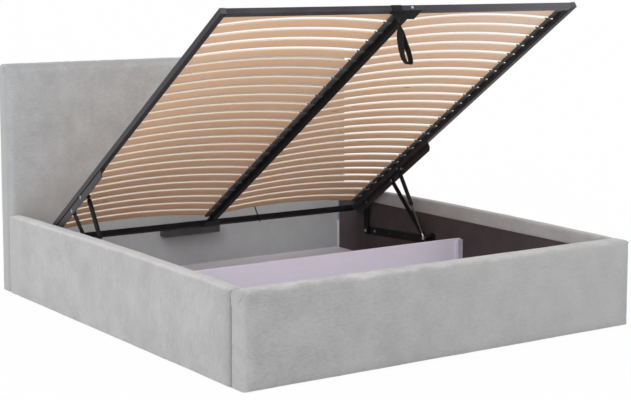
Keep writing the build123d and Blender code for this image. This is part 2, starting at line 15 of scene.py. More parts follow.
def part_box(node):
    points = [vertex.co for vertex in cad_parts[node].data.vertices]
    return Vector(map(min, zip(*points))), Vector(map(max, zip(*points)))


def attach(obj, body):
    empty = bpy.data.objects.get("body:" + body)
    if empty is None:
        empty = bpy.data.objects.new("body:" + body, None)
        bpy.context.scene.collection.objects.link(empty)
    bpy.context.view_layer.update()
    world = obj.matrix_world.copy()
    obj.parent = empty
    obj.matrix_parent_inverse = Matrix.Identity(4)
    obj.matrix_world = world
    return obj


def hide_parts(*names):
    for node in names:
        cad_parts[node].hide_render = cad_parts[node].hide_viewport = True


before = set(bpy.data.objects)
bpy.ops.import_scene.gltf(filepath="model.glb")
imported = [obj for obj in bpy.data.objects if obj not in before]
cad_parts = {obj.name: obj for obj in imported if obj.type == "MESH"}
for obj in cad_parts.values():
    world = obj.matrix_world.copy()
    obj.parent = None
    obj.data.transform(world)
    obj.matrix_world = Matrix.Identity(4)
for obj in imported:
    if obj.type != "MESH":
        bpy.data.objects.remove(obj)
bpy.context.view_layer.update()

# %% [markdown]
# ## The camera
# A photograph of a long object can be copied by hand with trial and error, or its camera can be
# solved from places whose sizes are known. Here the camera was solved, so its numbers are plain
# values: where it stands, how it turns, its lens, and the small shift of the cropped picture.

# %% Camera
camera_data = bpy.data.cameras.new("camera")
camera = bpy.data.objects.new("camera", camera_data)
bpy.context.scene.collection.objects.link(camera)
camera.location = (-3.7878, -5.7780, 1.5271)
looks_down = 0.1104
camera.rotation_euler = (math.pi / 2 - looks_down, 0, -0.5992)
camera_data.sensor_width = 36
camera_data.lens = 88.34
camera_data.shift_x, camera_data.shift_y = -0.0206, -0.0951
camera_data.clip_end = 200
bpy.context.scene.camera = camera
print("camera looks", round(math.degrees(looks_down), 1), "degrees down")

# %% [markdown]
# ## Writing finishes as sums
# Each finish is a small graph of shader nodes. A graph that is wired by hand is hard to read, so one
# class holds a socket and lets Python's own signs build the Math nodes: `1 - mask` or `grain * 0.2`.
# Colours are mixed by a Mix node, because a Math node would turn them grey. Any other node comes from
# `node`, which takes its kind, its settings, and what goes into its sockets.


# %% The class that holds a socket
class Shade:
    """One socket of a finish. Signs between shades and numbers add Math nodes."""

    def __init__(self, tree, socket=None):
        self.tree, self.socket = tree, socket

    def node(self, kind, settings=(), inputs=(), out=0):
        """Adds a node: first its settings, then the values or links of its sockets."""
        made = self.tree.nodes.new(kind)
        for name, value in dict(settings).items():
            setattr(made, name, value)
        for name, value in dict(inputs).items():
            if isinstance(value, Shade):
                self.tree.links.new(value.socket, made.inputs[name])
            else:
                made.inputs[name].default_value = value
        return Shade(self.tree, made.outputs[out])

    def math(self, operation, first, second):
        return self.node("ShaderNodeMath", {"operation": operation}, {0: first, 1: second})

    def through(self, operation, second=0.0):
        """This shade after one operation of a Math node."""
        return self.math(operation, self, second)

    def part(self, letter):
        """One part of a place or a direction: X across the bed, Y toward the headboard, Z up."""
        return self.node("ShaderNodeSeparateXYZ", inputs={0: self}, out=letter)

    def __add__(self, other):
        return self.math("ADD", self, other)

    def __sub__(self, other):
        return self.math("SUBTRACT", self, other)

    def __rsub__(self, other):
        return self.math("SUBTRACT", other, self)

    def __mul__(self, other):
        return self.math("MULTIPLY", self, other)

    __radd__, __rmul__ = __add__, __mul__

    def step(self, low, high):
        """0 below low, 1 above high, and a smooth rise between."""
        return self.node("ShaderNodeMapRange", {"interpolation_type": "SMOOTHSTEP"},
                         {"Value": self, "From Min": low, "From Max": high})

    def blend(self, first, second):
        """The first colour where this shade is 0 and the second where it is 1."""
        return self.node("ShaderNodeMix", {"data_type": "RGBA"},
                         {0: self, 6: first, 7: second}, out=2)

    def number(self, name):
        """A number that the mesh carries at each point, by its name."""
        return self.node("ShaderNodeAttribute", {"attribute_name": name}, out="Fac")

    def stretched(self, across, along, up):
        """Places on the object, scaled apart along the three directions."""
        return self.node("ShaderNodeMapping", inputs={"Vector": self, "Scale": (across, along, up)})

    def cells(self, scale, randomness=1.0, out="Distance"):
        """Random cells: how far a point is from its cell's middle, or a colour for each cell."""
        return self.node("ShaderNodeTexVoronoi", out=out,
                         inputs={"Vector": self, "Scale": scale, "Randomness": randomness})

    def in_grey(self):
        return self.node("ShaderNodeRGBToBW", inputs={0: self})

    def noise(self, scale=1.0, detail=2.0, roughness=0.5):
        return self.node("ShaderNodeTexNoise",
                         inputs={"Vector": self, "Scale": scale, "Detail": detail, "Roughness": roughness})

    def bump(self, distance, strength=1.0):
        """A height in metres, made into a normal."""
        return self.node("ShaderNodeBump",
                         inputs={"Height": self, "Distance": distance, "Strength": strength})


# %% A new finish
def grey(value, warm=0.0):
    """A plain grey, a little warm or cool."""
    return (value * (1 + warm), value, value * (1 - warm), 1)


def new_finish(name, **plain):
    """A finish with its plain values set, and the places on the object to paint by."""
    material = bpy.data.materials.new(name)
    material.use_nodes = True
    shader = material.node_tree.nodes["Principled BSDF"]
    for socket, value in plain.items():
        shader.inputs[socket.replace("_", " ")].default_value = value
    paint = Shade(material.node_tree)
    place = paint.node("ShaderNodeTexCoord", out="Object")
    return material, place


def coat(material, **shades):
    """Joins what varies over the surface to the finish's shader."""
    shader = material.node_tree.nodes["Principled BSDF"]
    for socket, shade in shades.items():
        material.node_tree.links.new(shade.socket, shader.inputs[socket.replace("_", " ")])
    print("finish", material.name, "has", len(material.node_tree.nodes), "nodes")
    return material


# %% [markdown]
# ## The studio
# The bed stands on a plain white floor in even light. The white of the picture comes from the floor
# and the world as the camera sees them, not from strong lamps, so that grey cloth stays grey. One
# wide sun lights the left side most and the foot panel less, and a weak one fills the front.

# %% World
def seen_plainly(tree):
    """1 where a surface is seen directly, in something glossy or through glass, and else 0."""
    ray = Shade(tree)
    camera_ray, glossy_ray, glass_ray = [ray.node("ShaderNodeLightPath", out=f"Is {kind} Ray")
                                         for kind in ("Camera", "Glossy", "Transmission")]
    return (camera_ray + glossy_ray + glass_ray).through("MINIMUM", 1.0)


world = bpy.data.worlds.new("studio")
bpy.context.scene.world = world
world.use_nodes = True
sky = world.node_tree.nodes["Background"]
direct = seen_plainly(world.node_tree)
sky.inputs["Color"].default_value = (1, 1, 1, 1)
room_light = 0.65
world.node_tree.links.new((room_light + direct * (1 - room_light)).socket, sky.inputs["Strength"])
print("room light", room_light)

# %% Floor
bpy.ops.mesh.primitive_plane_add(size=300)
floor = bpy.context.object
floor.name = "studio_floor"
white_floor = bpy.data.materials.new("white_floor")
white_floor.use_nodes = True
tree = white_floor.node_tree
tree.nodes.clear()
direct = seen_plainly(tree)
ray = Shade(tree)
pale = ray.node("ShaderNodeBsdfDiffuse", inputs={"Color": grey(0.90)})
plain_white = ray.node("ShaderNodeEmission", inputs={"Color": grey(1.0), "Strength": 1.0})
whiteness = 0.95
surface = ray.node("ShaderNodeMixShader", inputs={0: direct * whiteness, 1: pale, 2: plain_white})
output = tree.nodes.new("ShaderNodeOutputMaterial")
tree.links.new(surface.socket, output.inputs["Surface"])
floor.data.materials.append(white_floor)
print("the floor keeps", round(1 - whiteness, 2), "of its shading, where the bed's shadow shows")


# %% Lamps
def soft_sun(name, toward, strength, spread):
    """A sun whose light comes from the given direction, as wide as a window."""
    data = bpy.data.lights.new(name, "SUN")
    data.energy = strength
    data.angle = math.radians(spread)
    lamp = bpy.data.objects.new(name, data)
    bpy.context.scene.collection.objects.link(lamp)
    lamp.rotation_euler = Vector(toward).to_track_quat("Z", "Y").to_euler()
    print("lamp", name, "strength", strength, "width", spread, "degrees")


soft_sun("window_left", (-0.72, -0.20, 0.66), 1.55, 50)
soft_sun("front_fill", (-0.20, -0.97, 0.10), 0.50, 60)

# %% [markdown]
# ## Chenille
# The cloth is a thick grey chenille. From near by it has fine ribs and short raised marks that run
# one way, and from afar the pile lies in paler and darker patches. All of it is noise that is
# stretched along the run of the cloth. The pile stands up, so light that grazes it glows: that is the
# sheen. The top edges are painted paler still, which is a painted highlight, and noise makes its border
# ragged.


# %% Chenille whose marks run across or upright
def chenille(name, run, tone, warm=0.0):
    """Grey pile cloth. run is the direction of its marks, and tone how pale its nap looks."""
    material, place = new_finish(name, Roughness=0.92, Sheen_Weight=0.42, Sheen_Roughness=0.45,
                                 Sheen_Tint=grey(0.85), Specular_IOR_Level=0.15)
    way = ("across", "along", "up").index(run)

    def along_run(beside, along):
        """Noise that is beside wide and along long, as cycles in a metre."""
        scale = [beside] * 3
        scale[way] = along
        return place.stretched(*scale)

    marks = along_run(240, 46).noise(1.0, 3.0, 0.55)
    streaks = along_run(62, 20).noise(1.0, 4.0, 0.62)
    patches = place.noise(7.0, 5.0, 0.65)
    flecks = along_run(90, 150).noise(1.0, 2.0, 0.5)
    across_bed, along_bed, height_up = (place.part(letter) for letter in "XYZ")
    level = height_up if run == "across" else along_bed
    waves = (level * 310.0 + streaks * 2.4).through("PINGPONG", 0.5)
    yarns = waves * 2.0 * (0.45 + marks * 0.9)
    fuzz = place.noise(1500, 2.0, 0.7)
    nap = place.stretched(11, 9, 8).noise(1.0, 4.0, 0.7)
    mask = (marks * 0.34 + streaks * 0.08 + patches * 0.34 + nap * 0.24).step(0.38, 0.62)
    base = mask.blend(grey(0.362 * tone, warm), grey(0.472 * tone, warm))
    dark = (1 - waves.step(0.02, 0.30)) * 0.30
    dark = dark + marks.step(0.60, 0.74) * 0.22 + flecks.step(0.58, 0.76) * 0.20
    base = dark.blend(base, grey(0.285 * tone, warm))
    pale = streaks.step(0.60, 0.74) * 0.24
    base = pale.blend(base, grey(0.520 * tone, warm))
    # painted highlight: the top edges are painted paler, with a ragged border
    highlight_border = height_up + (patches - 0.5) * 0.040 + (streaks - 0.5) * 0.020
    painted_highlight_grey = grey(0.620, -0.014)
    if name == "chenille_upright":
        # painted shade: the rails are painted darker beside the foot panel, where shade falls in the seam
        base = ((1 - along_bed.step(-1.020, -0.960)) * 0.60).blend(base, grey(0.270 * tone, warm))
        # painted highlight: the left rail's top is painted paler over its whole width, and the right
        # rail's only by its outer edge
        share = (1 - across_bed.step(-0.5, 0.5)) * 0.75 + across_bed.step(0.915, 0.965)
        facing_up = place.node("ShaderNodeNewGeometry", out="Normal").part("Z").step(0.20, 0.90)
        base = (highlight_border.step(0.353, 0.377) * facing_up * share).blend(base, painted_highlight_grey)
    elif name == "chenille_across":
        # painted highlight: the foot panel's top edge is painted paler
        base = (highlight_border.step(0.361, 0.380) * 0.85).blend(base, painted_highlight_grey)
        # the light falls off a little toward the left end of the foot panel
        base = (across_bed.step(-1.1, 1.1) * 0.45).blend(base, grey(0.475 * tone, warm))
    else:
        # painted light: the headboard's front is painted paler, most of all low down where the raised base
        # shades it, and its other faces are painted a plainer grey
        base = ((1 - height_up.step(0.30, 0.60)) * 0.60).blend(base, grey(0.480, 0.010))
        base = (along_bed.step(1.0205, 1.0300) * 0.85).blend(base, grey(0.370))
    height = yarns * 0.0009 + flecks * 0.0004 + fuzz * 0.0005 + patches * 0.0020
    return coat(material, Base_Color=base, Normal=height.bump(1.0, 0.55),
                Roughness=0.86 + patches * 0.12)


chenille_across = chenille("chenille_across", "across", 0.98)
chenille_upright = chenille("chenille_upright", "up", 1.0)
# the headboard has the same chenille, painted lighter and a little cooler by its tone: painted light
# against the shade of the raised base
chenille_headboard = chenille("chenille_headboard", "across", 1.235, -0.052)

# %% [markdown]
# ## The cloths inside and behind
# The lining boards carry a thin brown-black felt, and the back of the headboard a black spun cloth,
# which is pressed in a grid of tiny points. Both are dull. The felt's fibres are fine noise, and the
# points of the spun cloth are cells of a Voronoi pattern.

# %% Felt of the linings
lining_felt, place = new_finish("lining_felt", Roughness=0.95, Specular_IOR_Level=0.2,
                                Sheen_Weight=0.06, Sheen_Roughness=0.5)
fibres = place.stretched(300, 300, 60).noise(1.0, 3.0, 0.7)
clouds = place.noise(6, 3.0, 0.6)
felt = (fibres * 0.5 + clouds * 0.5).step(0.3, 0.7)
felt = felt.blend((0.051, 0.038, 0.041, 1), (0.076, 0.058, 0.063, 1))
coat(lining_felt, Base_Color=felt, Normal=(fibres * 0.0006).bump(1.0, 0.5))

# %% Spun cloth of the headboard's back
spun_cloth, place = new_finish("spun_cloth", Roughness=0.85, Specular_IOR_Level=0.25)
points = place.cells(420, randomness=0.25)
threads = place.noise(260, 3.0, 0.7)
pressed = points.step(0.15, 0.40)
spun = (pressed * 0.6 + threads * 0.4).step(0.2, 0.9).blend(grey(0.018), grey(0.050))
coat(spun_cloth, Base_Color=spun, Normal=(pressed * 0.0003 + threads * 0.0002).bump(1.0, 0.6))

# %% [markdown]
# ## Boards
# The storage floor and the divider are thin board with a pale lilac-grey foil. Foil has a faint
# grain and a satin gloss. The carcass inside the padding is raw chipboard, and the battens are pine.


# %% Foil, chipboard and pine
def foil(name, light, dark):
    """Pale foil with a faint grain along the bed's width."""
    material, place = new_finish(name, Roughness=0.5, Specular_IOR_Level=0.35)
    grain = place.stretched(9, 160, 160).noise(1.0, 4.0, 0.6)
    cloud = place.noise(3.0, 2.0, 0.5)
    colour = (grain * 0.55 + cloud * 0.45).step(0.3, 0.7).blend(dark, light)
    return coat(material, Base_Color=colour, Roughness=0.42 + grain * 0.2,
                Normal=(grain * 0.0002).bump(1.0, 0.4))


divider_foil = foil("divider_foil", (0.905, 0.865, 0.990, 1), (0.865, 0.825, 0.955, 1))
floor_foil = foil("floor_foil", (0.640, 0.605, 0.650, 1), (0.580, 0.550, 0.595, 1))
# painted shade: the cleats have the divider's foil, painted darker
cleat_foil = foil("cleat_foil", (0.640, 0.615, 0.720, 1), (0.600, 0.575, 0.680, 1))
trim_foil = foil("trim_foil", (0.560, 0.555, 0.575, 1), (0.500, 0.495, 0.515, 1))

chipboard, place = new_finish("chipboard", Roughness=0.8)
flake = place.stretched(160, 160, 420).cells(1.0, out="Color").in_grey()
coat(chipboard, Base_Color=flake.blend((0.36, 0.24, 0.12, 1), (0.58, 0.43, 0.25, 1)),
     Normal=(flake * 0.0006).bump(1.0, 0.5))

pine, place = new_finish("pine", Roughness=0.6)
rings = place.stretched(3, 60, 60).noise(1.0, 4.0, 0.6)
coat(pine, Base_Color=rings.step(0.35, 0.65).blend((0.66, 0.47, 0.26, 1), (0.50, 0.31, 0.14, 1)),
     Normal=(rings * 0.0006).bump(1.0, 0.4))

# %% [markdown]
# ## Bent slats
# A slat is seven thin layers of beech that are glued in a bow. Its faces show long fine grain with
# short dark pores and a few knots, and each slat has its own tint. The slats at the right of the
# foot end are painted paler, as painted light. On its edges the layers show as lines. The mesh of a slat
# carries two numbers
# for this: how far through the thickness a point is, and whether it is on an edge. Grain that is
# set by numbers in the mesh follows the bow.

# %% Beech
beech, place = new_finish("beech", Roughness=0.5, Specular_IOR_Level=0.22)
grain = place.stretched(5, 190, 190).noise(1.0, 5.0, 0.62)
pores = place.stretched(55, 900, 900).noise(1.0, 2.0, 0.5).step(0.60, 0.70)
bands = place.stretched(1.6, 26, 26).noise(1.0, 3.0, 0.6)
slat_tint = place.node("ShaderNodeNewGeometry", out="Random Per Island")
tone = grain * 0.40 + bands * 0.45 + slat_tint * 0.30
face_wood = tone.step(0.38, 0.78).blend((0.960, 0.645, 0.415, 1), (0.905, 0.540, 0.325, 1))
face_wood = (slat_tint * 0.55).blend(face_wood, (0.960, 0.675, 0.470, 1))
# painted light: the slats toward the right of the foot end are painted paler, where more light falls on
# them
painted_light_end = place.part("X").step(0.10, 0.60) * (1 - place.part("Y").step(-0.75, -0.25))
face_wood = (painted_light_end * 0.80).blend(face_wood, (0.960, 0.735, 0.600, 1))
knots = 1 - place.stretched(2.2, 9, 9).cells(1.0).step(0.03, 0.07)
face_wood = (knots * 0.75).blend(face_wood, (0.44, 0.26, 0.15, 1))
face_wood = (pores * 0.35).blend(face_wood, (0.46, 0.27, 0.15, 1))
through, edge = place.number("through"), place.number("edge")
layer_count = 7
layers = (through * layer_count * math.tau).through("SINE")
edge_wood = layers.step(-0.5, 0.6).blend((0.76, 0.56, 0.40, 1), (0.95, 0.85, 0.74, 1))
coat(beech, Base_Color=edge.blend(face_wood, edge_wood), Roughness=0.42 + grain * 0.22,
     Normal=(grain * 0.0005 - pores * 0.0003).bump(1.0, 0.5))


# %% [markdown]
# ## Steel
# The frame is sprayed with black powder. Powder dries in a skin like fine orange peel, and picks up
# a little dust and a few pale scuffs. The bolts and brackets are plain zinc, which is bluish and
# cloudy. The rods of the struts are a dark steel, and their sockets are ground bright, with scratches
# round them.


# %% Powder-sprayed black
def sprayed(name, dark, light, gloss, shine, painted_light_right=0.0):
    """Black powder: orange peel, dust and scuffs. The last argument paints it paler toward the bed's right
    side, as painted light.
    """
    material, place = new_finish(name, Specular_IOR_Level=shine)
    peel = place.noise(700, 2.0, 0.5)
    dust = place.noise(9, 4.0, 0.6)
    scuffs = place.stretched(60, 14, 14).noise(1.0, 5.0, 0.7).step(0.68, 0.74)
    colour = dust.step(0.35, 0.75).blend(dark, light)
    colour = (scuffs * 0.25).blend(colour, grey(0.12))
    # painted light: paler toward the bed's right side, where more light falls
    if painted_light_right:
        to_right = place.part("X").step(-0.1, 0.9)
        colour = (to_right * painted_light_right).blend(colour, (0.110, 0.105, 0.122, 1))
    return coat(material, Base_Color=colour, Roughness=gloss + dust * 0.22 + scuffs * 0.1,
                Normal=(peel * 0.00025).bump(1.0, 0.5))


tube_black = sprayed("tube_black", (0.022, 0.0200, 0.0235, 1), (0.037, 0.033, 0.041, 1), 0.34, 0.28)
# the foot tube has the same black powder painted lighter, and paler still toward its right end: painted
# light
foot_tube_black = sprayed("foot_tube_black", (0.032, 0.030, 0.036, 1), (0.056, 0.053, 0.064, 1),
                          0.34, 0.30, painted_light_right=0.8)
link_black = sprayed("link_black", (0.006, 0.0055, 0.006, 1), (0.011, 0.010, 0.011, 1), 0.42, 0.14)
shelf_grey = sprayed("shelf_grey", (0.048, 0.046, 0.049, 1), (0.070, 0.067, 0.071, 1), 0.40, 0.35)
angle_black = sprayed("angle_black", (0.030, 0.0265, 0.030, 1), (0.044, 0.037, 0.043, 1), 0.36, 0.28)

# %% Painted shade: a dull black strip in the gap between a side tube and its angle
gap_dust, place = new_finish("gap_dust", Specular_IOR_Level=0.0)
shade_speckle = place.noise(420, 4.0, 0.7)
coat(gap_dust, Base_Color=shade_speckle.step(0.4, 0.8).blend(grey(0.002), grey(0.010)),
     Roughness=0.9 + shade_speckle * 0.1, Normal=(shade_speckle * 0.0004).bump(1.0, 0.6))


# %% Zinc and bright steel
def plated(name, dark, light, roughness):
    """Plated steel: cloudy, with fine scratches."""
    material, place = new_finish(name, Metallic=1.0)
    spangle = place.cells(90, out="Color").in_grey()
    scratches = place.stretched(60, 900, 900).noise(1.0, 3.0, 0.6)
    return coat(material, Base_Color=(spangle * 0.6 + scratches * 0.4).blend(dark, light),
                Roughness=roughness + spangle * 0.10 + scratches * 0.12,
                Normal=(scratches * 0.00015).bump(1.0, 0.4))


zinc = plated("zinc", (0.40, 0.44, 0.50, 1), (0.62, 0.67, 0.74, 1), 0.26)
pin_steel = plated("pin_steel", (0.22, 0.23, 0.25, 1), (0.36, 0.38, 0.41, 1), 0.30)
bright_steel = plated("bright_steel", (0.62, 0.62, 0.64, 1), (0.86, 0.86, 0.88, 1), 0.14)
nitrided_rod = plated("nitrided_rod", (0.060, 0.058, 0.062, 1), (0.100, 0.098, 0.104, 1), 0.22)

# %% Bolts that are bright at one end of the bracket and black at the other
bolt_row, place = new_finish("bolt_row", Specular_IOR_Level=0.3)
toward_head = place.part("Y").step(0.640, 0.645)
cloud = place.noise(160, 3.0, 0.6)
bright = cloud.blend((0.42, 0.46, 0.52, 1), (0.64, 0.69, 0.76, 1))
coat(bolt_row, Base_Color=toward_head.blend(grey(0.012), bright), Metallic=toward_head * 1.0,
     Roughness=0.30 + cloud * 0.12, Normal=(cloud * 0.0002).bump(1.0, 0.4))

# %% [markdown]
# ## Plastic and webbing
# The caps of the slats are grey-black moulded plastic with a fine spark-etched skin, and the glides
# are a paler nylon. The pull strap is woven polyester: ribs that cross at a slant, with a firmer
# woven edge on both sides. Two numbers in the strap's mesh, across and along, place the ribs.


# %% Moulded plastic
def moulded(name, dark, light, roughness):
    """Plastic with the fine grain of its mould."""
    material, place = new_finish(name, Specular_IOR_Level=0.45)
    skin = place.noise(1300, 2.0, 0.6)
    flow = place.noise(22, 3.0, 0.5)
    return coat(material, Base_Color=flow.step(0.3, 0.7).blend(dark, light),
                Roughness=roughness + skin * 0.12, Normal=(skin * 0.00012).bump(1.0, 0.6))


cap_plastic = moulded("cap_plastic", grey(0.050, -0.03), grey(0.085, -0.03), 0.34)
strap_thread = moulded("strap_thread", grey(0.050), grey(0.090), 0.60)
glide_nylon = moulded("glide_nylon", grey(0.22), grey(0.30), 0.45)

# %% Webbing
webbing, place = new_finish("webbing", Roughness=0.75, Specular_IOR_Level=0.3,
                            Sheen_Weight=0.02, Sheen_Roughness=0.4)
across, along = place.number("across"), place.number("along")
slant = (across * 4.0).through("PINGPONG", 0.5) * 0.9 + along * 210.0
rib = slant.through("PINGPONG", 0.5) * 2.0
selvedge = (across * 2.0 - 1.0).through("ABSOLUTE").step(0.86, 0.92)
threads = place.noise(900, 2.0, 0.6)
weave = rib.step(0.2, 0.8) * (1 - selvedge * 0.6)
coat(webbing, Base_Color=(weave * 0.7 + threads * 0.3).blend(grey(0.002), grey(0.008)),
     Normal=(weave * 0.0007 + threads * 0.0002).bump(1.0, 0.8), Roughness=0.65 + threads * 0.2)


# %% [markdown]
# ## One way to make a mesh
# Every piece that this script builds goes through one helper. It takes points in metres, in the
# same frame as the engineering model, gives the piece its finish, lets it ride on a body and, where
# it stands for a piece of the model, replaces that one. Pieces made of many parts are joined first.

# %% The helper, and four small ones
def make_piece(name, shape, finish, body, stands_for=None):
    """A mesh piece that rides on a body.

    shape holds its points and faces, and a dictionary of the numbers that its finish reads, if any.
    stands_for is the model's piece that it replaces, if any."""
    points, faces, *numbers = shape
    mesh = bpy.data.meshes.new(name)
    mesh.from_pydata([tuple(point) for point in points], [], faces)
    mesh.materials.append(finish)
    mesh.shade_smooth()
    for label, values in dict(*numbers).items():
        mesh.attributes.new(label, "FLOAT", "POINT").data.foreach_set("value", values)
    piece = bpy.data.objects.new(name, mesh)
    bpy.context.scene.collection.objects.link(piece)
    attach(piece, body)
    if stands_for:
        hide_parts(stands_for)
    print(name, len(points), "points")
    return piece


def join(parts):
    """Several lists of points and faces, as one."""
    points, faces = [], []
    for part_points, part_faces in parts:
        start = len(points)
        points += part_points
        faces += [[start + i for i in face] for face in part_faces]
    return points, faces


def skin(rings, around, closed=False):
    """Faces over rings of points that follow one another. The ends are shut, or joined if closed."""
    count, faces = rings * around, []
    for i in range(rings if closed else rings - 1):
        for j in range(around):
            a, b = i * around + j, i * around + (j + 1) % around
            faces.append([a, b, (b + around) % count, (a + around) % count])
    if not closed:
        faces += [list(range(around))[::-1], list(range(count - around, count))]
    return faces


sides = (("right", 1), ("left", -1))


def both(*names):
    """The names of the right and left ones."""
    return [f"{name}_{side}" for name in names for side, _ in sides]


def mirrored(way, near, far):
    """A range across the bed, on its right where way is 1 and on its left where it is -1."""
    return tuple(sorted((way * near, way * far)))


# %% [markdown]
# ## Padded panels
# A padded panel is a board with foam on its face, pulled over with cloth. It could be a plain
# rounded box, but cloth that is pulled over foam swells a little in the middle, dips beside its
# edges and puckers where it was stapled. So the panel starts as a box whose points lie close
# together round the edges. Each point is moved out to the rounded edge, and then in or out by the
# swell and the unevenness of the foam.


# %% Points of a rounded panel
def stations(low, high, radius, spacing, turns=5):
    """Places along one side of a panel, close together round its two edges."""
    ends = [radius * (1 - math.tan(math.pi / 4 * (1 - i / turns))) for i in range(turns)]
    count = max(1, round((high - low - 2 * radius) / spacing))
    middle = [low + radius + i * (high - low - 2 * radius) / count for i in range(count + 1)]
    return [low + e for e in ends] + middle + [high - e for e in reversed(ends)]


def rounded_shell(low, high, radius, spacing, shape, turns=5):
    """Points and faces of a rounded box. shape moves each point, knowing its outward normal."""
    places = [stations(low[i], high[i], radius, spacing[i], turns) for i in range(3)]
    last = [len(row) - 1 for row in places]
    index, points, faces = {}, [], []

    def point_at(key):
        if key not in index:
            place = Vector(places[i][key[i]] for i in range(3))
            inner = Vector(min(max(place[i], low[i] + radius), high[i] - radius) for i in range(3))
            normal = (place - inner).normalized()
            index[key] = len(points)
            points.append(shape(inner + normal * radius, normal))
        return index[key]

    for axis in range(3):
        u, v = (axis + 1) % 3, (axis + 2) % 3
        for side in (0, last[axis]):
            for a in range(last[u]):
                for b in range(last[v]):
                    face = []
                    for du, dv in ((0, 0), (1, 0), (1, 1), (0, 1)):
                        key = [0, 0, 0]
                        key[axis], key[u], key[v] = side, a + du, b + dv
                        face.append(point_at(tuple(key)))
                    faces.append(face if side else face[::-1])
    return points, faces


# %% Swell and unevenness of foam under cloth
def foam_surface(low, high, radius, swell, faces_out, tuck_side=None, tuck_z=0.0, tuck=0.0, under=None,
                 soft_corner=0.0, crown=0.0):
    """How cloth over foam departs from a flat panel.

    faces_out are the (axis, sign) pairs of the padded faces, which swell. Behind, the cloth ends
    in a hem round the second cloth whose box is under, so inside that box there is none of it.
    soft_corner is a larger radius for the two upright edges in front. crown is how far the padding
    stands up halfway along the panel's top."""
    slack, swell_reach, hem = 0.0005, 0.09, 0.004

    def shape(point, normal):
        moved = point.copy()
        if crown and point.z > high.z - radius - slack:
            moved.z += crown * math.sin(math.pi * (point.y - low.y) / (high.y - low.y))
        if tuck_side is not None:
            # no foam inside the box, so the inner edges are sharper than the padded ones
            axis, way = tuck_side
            inner = high[axis] if way > 0 else low[axis]
            if abs(point[axis] - inner) < radius - slack:
                moved[axis] = inner + (point[axis] - inner) * 0.4
        if soft_corner:
            middle_x = max(low.x + soft_corner, min(high.x - soft_corner, point.x))
            middle = Vector((middle_x, low.y + soft_corner))
            away = Vector((point.x, point.y)) - middle
            if away.x and away.y < 0 and away.length > soft_corner:
                moved.x, moved.y = middle + away.normalized() * soft_corner
        if point.z < low.z + radius - slack:
            # the cloth is pulled hard under the panel, so its lower edge is sharper
            moved.z = low.z + (point.z - low.z) * 0.3
        edge = 1.0
        for axis, way in faces_out:
            if normal[axis] * way > 0.05:
                share = 1.0
                for other in range(3):
                    if other != axis:
                        half = (high[other] - low[other]) / 2
                        near = min(point[other] - low[other], high[other] - point[other])
                        share *= min(1.0, max(0.0, near / min(swell_reach, half))) ** 0.6
                edge = share
                moved += normal * swell * share * abs(normal[axis])
        wave = noise.noise(point * 4.5) * 0.0011 + noise.noise(point * 11 + Vector((3, 7, 1))) * 0.0006
        pucker = noise.noise(point * 34) * 0.0007 * (1.25 - edge)
        moved += normal * (wave + pucker - 0.0008)
        if tuck_side is not None and point.z < tuck_z:
            axis, way = tuck_side
            if normal[axis] * way > 0.2:
                sink = min(1.0, (tuck_z - point.z) / 0.006)
                moved[axis] -= way * tuck * sink
        if under and normal.y > 0.5:
            inside = min(point.x - under[0].x, under[1].x - point.x,
                         point.z - under[0].z, under[1].z - point.z)
            if inside > hem:
                moved.y = under[0].y - 0.003
        return moved
    return shape


point_spacing, held_rim, most_settling, frames = 0.012, 0.018, 0.0045, 20


def settle_cloth(panel, free):
    """Cloth simulation: the foam presses out, and the cloth, cut a little large, settles over it.

    free says whether a point may move. No point ends further than most_settling from its start."""
    mesh = panel.data
    start = [point.co.copy() for point in mesh.vertices]
    held = panel.vertex_groups.new(name="stapled")
    held.add([i for i, place in enumerate(start) if not free(place)], 1.0, "REPLACE")
    cloth = panel.modifiers.new("cloth", "CLOTH")
    weave, cache = cloth.settings, cloth.point_cache
    weave.quality, weave.mass, weave.time_scale = 4, 0.4, 1.0
    weave.tension_stiffness = weave.compression_stiffness = 12
    weave.shear_stiffness, weave.bending_stiffness = 4, 0.4
    weave.use_pressure, weave.uniform_pressure_force = True, 4
    weave.shrink_min = weave.shrink_max = -0.006
    weave.effector_weights.gravity = 0
    weave.vertex_group_mass = "stapled"
    cloth.collision_settings.use_collision = False
    cache.frame_start, cache.frame_end = 1, frames
    for step in range(1, frames + 1):
        bpy.context.scene.frame_set(step)
    settled = panel.evaluated_get(bpy.context.evaluated_depsgraph_get()).data
    ends = [point.co.copy() for point in settled.vertices]
    panel.modifiers.remove(cloth)
    panel.vertex_groups.remove(held)
    bpy.context.scene.frame_set(1)
    furthest = 0.0
    for point, before, after in zip(mesh.vertices, start, ends):
        move = after - before
        if move.length > most_settling:
            move = move.normalized() * most_settling
        point.co = before + move
        furthest = max(furthest, move.length)
    print("settled", panel.name, "by up to", round(furthest * 1000, 1), "mm")


def padded_panel(name, node, finish, radius, swell, faces_out, **forms):
    """A padded panel in the place of the model's cover. forms are those of foam_surface."""
    low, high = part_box(node)
    surface = foam_surface(low, high, radius, swell, faces_out, **forms)
    shell = rounded_shell(low, high, radius, [point_spacing] * 3, surface)
    panel = make_piece(name, shell, finish, "bed")

    def free(place):
        """Only cloth over foam moves, away from the panel's rim."""
        for axis, way in faces_out:
            face = high[axis] if way > 0 else low[axis]
            if abs(place[axis] - face) < 0.006:
                others = [i for i in range(3) if i != axis]
                return all(low[i] + held_rim < place[i] < high[i] - held_rim for i in others)
        return False

    settle_cloth(panel, free)
    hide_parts(node)
    return panel


# %% [markdown]
# ## Rails, foot panel and headboard
# On the real bed each of the four panels is upholstered by itself and then bolted on, so the cloth
# goes round the ends of each one and a soft groove is left between them. Inside the box the cloth
# turns down a hand's breadth and is stapled behind the dark lining, so below that line the panels
# step back. The long rails are padded fuller halfway along, so their tops rise there.

